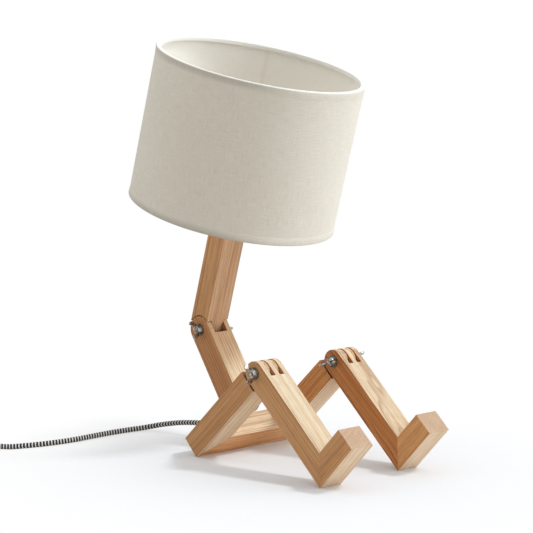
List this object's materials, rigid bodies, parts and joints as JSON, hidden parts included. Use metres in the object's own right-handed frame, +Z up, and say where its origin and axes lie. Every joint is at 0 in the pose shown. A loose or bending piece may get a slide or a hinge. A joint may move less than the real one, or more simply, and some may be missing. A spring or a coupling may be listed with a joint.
{
  "type": "desk lamp",
  "caption": "Posable desk lamp: mitred oak bars joined by finger hinges sit like a figure with raised knees, under a drum shade.",
  "frame": {"origin": "on the table, under the middle of the bounding box of the lamp without its free cord", "axes": "+Z up, +X to the front where the feet are, +Y to the figure's left, along the hinge bolts"},
  "size_m": [0.4776, 0.4242, 0.4334],
  "materials": {
    "oak": "sanded, clear oiled",
    "dowel": "raw beech",
    "steel": "bright nickel plated",
    "brass": "bright",
    "linen": "matte linen weave",
    "liner": "matte translucent film",
    "holder": "white thermoplastic",
    "frame_white": "white powder coat",
    "bulb_glass": "opal",
    "bulb_metal": "plain",
    "cord": "black and white braid",
    "black_plastic": "satin",
    "pin_metal": "nickel plated brass"
  },
  "bodies": {
    "hips": {"hip_bar": "oak", "right_thigh": "oak", "left_thigh": "oak", "waist_post": "oak", "hip_dowels": "dowel", "hip_lead": "black_plastic", "cord_grip": "black_plastic", "cord_run": "cord", "cord_link": "cord", "cord_coil": "cord", "cord_tail": "cord", "switch_base": "black_plastic", "switch_top": "black_plastic", "switch_terminals": "brass", "plug_body": "black_plastic", "plug_pins": "pin_metal"},
    "right_leg": {"right_shin": "oak", "right_foot": "oak", "right_heel_dowels": "dowel", "right_knee_washers": "steel"},
    "left_leg": {"left_shin": "oak", "left_foot": "oak", "left_heel_dowels": "dowel", "left_knee_washers": "steel"},
    "torso": {"torso_bar": "oak", "torso_lead": "black_plastic", "torso_washers": "steel"},
    "neck": {"neck_bar": "oak", "neck_lead": "black_plastic", "threaded_tube": "brass", "holder_cap": "holder", "holder_body": "holder", "contact_block": "holder", "centre_contact": "brass", "screw_shell": "brass", "shade_nut": "holder", "fitter_frame": "frame_white", "top_wire": "steel", "shade_cover": "linen", "shade_liner": "liner", "top_hem": "linen", "bottom_hem": "linen", "bulb_globe": "bulb_glass", "bulb_cap": "bulb_metal"},
    "rocker": {"switch_rocker": "black_plastic"},
    "right_knee_screw": {"right_knee_screw": "steel"},
    "right_knee_nut": {"right_knee_nut": "steel"},
    "left_knee_screw": {"left_knee_screw": "steel"},
    "left_knee_nut": {"left_knee_nut": "steel"},
    "waist_screw": {"waist_screw": "steel"},
    "waist_nut": {"waist_nut": "steel"},
    "neck_screw": {"neck_screw": "steel"},
    "neck_nut": {"neck_nut": "steel"}
  },
  "joints": [
    {"name": "waist", "type": "hinge", "parent": "hips", "child": "torso", "pos_m": [-0.05001, 0, 0.04925], "axis": [0, 1, 0], "range_deg": [-68, 60]},
    {"name": "neck", "type": "hinge", "parent": "torso", "child": "neck", "pos_m": [-0.09984, 0, 0.12069], "axis": [0, -1, 0], "range_deg": [-28, 90]},
    {"name": "right_knee", "type": "hinge", "parent": "hips", "child": "right_leg", "pos_m": [0.04255, -0.05725, 0.09938], "axis": [0, 1, 0], "range_deg": [-100, 10]},
    {"name": "left_knee", "type": "hinge", "parent": "hips", "child": "left_leg", "pos_m": [0.04255, 0.05725, 0.09938], "axis": [0, 1, 0], "range_deg": [-100, 10]},
    {"name": "right_knee_screw_turn", "type": "hinge", "parent": "right_leg", "child": "right_knee_screw", "pos_m": [0.04255, -0.03725, 0.09938], "axis": [0, 1, 0], "continuous": true},
    {"name": "right_knee_nut_turn", "type": "hinge", "parent": "right_leg", "child": "right_knee_nut", "pos_m": [0.04255, -0.07725, 0.09938], "axis": [0, -1, 0], "continuous": true},
    {"name": "left_knee_screw_turn", "type": "hinge", "parent": "left_leg", "child": "left_knee_screw", "pos_m": [0.04255, 0.07725, 0.09938], "axis": [0, 1, 0], "continuous": true},
    {"name": "left_knee_nut_turn", "type": "hinge", "parent": "left_leg", "child": "left_knee_nut", "pos_m": [0.04255, 0.03725, 0.09938], "axis": [0, -1, 0], "continuous": true},
    {"name": "waist_screw_turn", "type": "hinge", "parent": "torso", "child": "waist_screw", "pos_m": [-0.05001, 0.02, 0.04925], "axis": [0, 1, 0], "continuous": true},
    {"name": "waist_nut_turn", "type": "hinge", "parent": "torso", "child": "waist_nut", "pos_m": [-0.05001, -0.02, 0.04925], "axis": [0, -1, 0], "continuous": true},
    {"name": "neck_screw_turn", "type": "hinge", "parent": "torso", "child": "neck_screw", "pos_m": [-0.09984, 0.02, 0.12069], "axis": [0, 1, 0], "continuous": true},
    {"name": "neck_nut_turn", "type": "hinge", "parent": "torso", "child": "neck_nut", "pos_m": [-0.09984, -0.02, 0.12069], "axis": [0, -1, 0], "continuous": true},
    {"name": "rocker_tilt", "type": "hinge", "parent": "hips", "child": "rocker", "pos_m": [-0.19114, -0.256, 0.012], "axis": [1, 0, 0], "range_deg": [-14, 0]}
  ]
}
